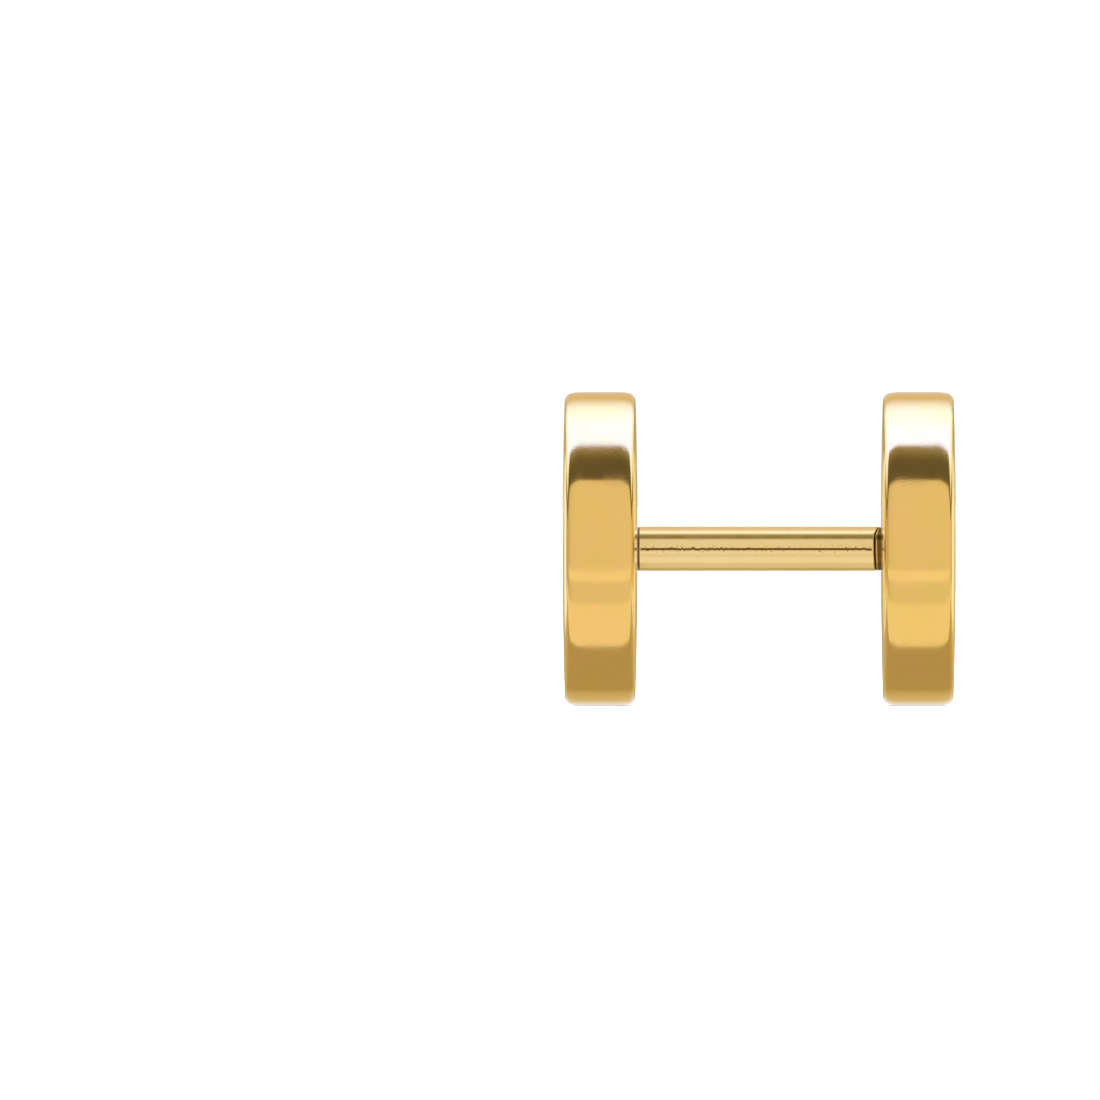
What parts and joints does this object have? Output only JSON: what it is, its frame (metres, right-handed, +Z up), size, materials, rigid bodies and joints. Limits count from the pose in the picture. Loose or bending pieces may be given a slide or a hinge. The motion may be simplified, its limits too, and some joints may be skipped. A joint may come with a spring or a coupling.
{
  "type": "double-disc screw stud earring",
  "caption": "Polished gold-coloured ear stud: a flat round disc on each end of a short straight post. The rear disc screws off so the post can pass through the lobe.",
  "frame": {"origin": "on the surface that the stud lies on, under the middle of its length", "axes": "+X along the post from the front disc to the screw-on back disc, +Z up, with the post's axis half a disc's diameter above the surface"},
  "size_m": [0.01, 0.008, 0.008],
  "materials": {
    "gold_disc": "polished",
    "gold_post": "polished"
  },
  "bodies": {
    "front": {"front_disc": "gold_disc", "post": "gold_post"},
    "back": {"back_disc": "gold_disc"}
  },
  "joints": [
    {"name": "back_disc_off", "type": "slide", "parent": "front", "child": "back", "axis": [1, 0, 0], "range_m": [0, 0.008]}
  ]
}
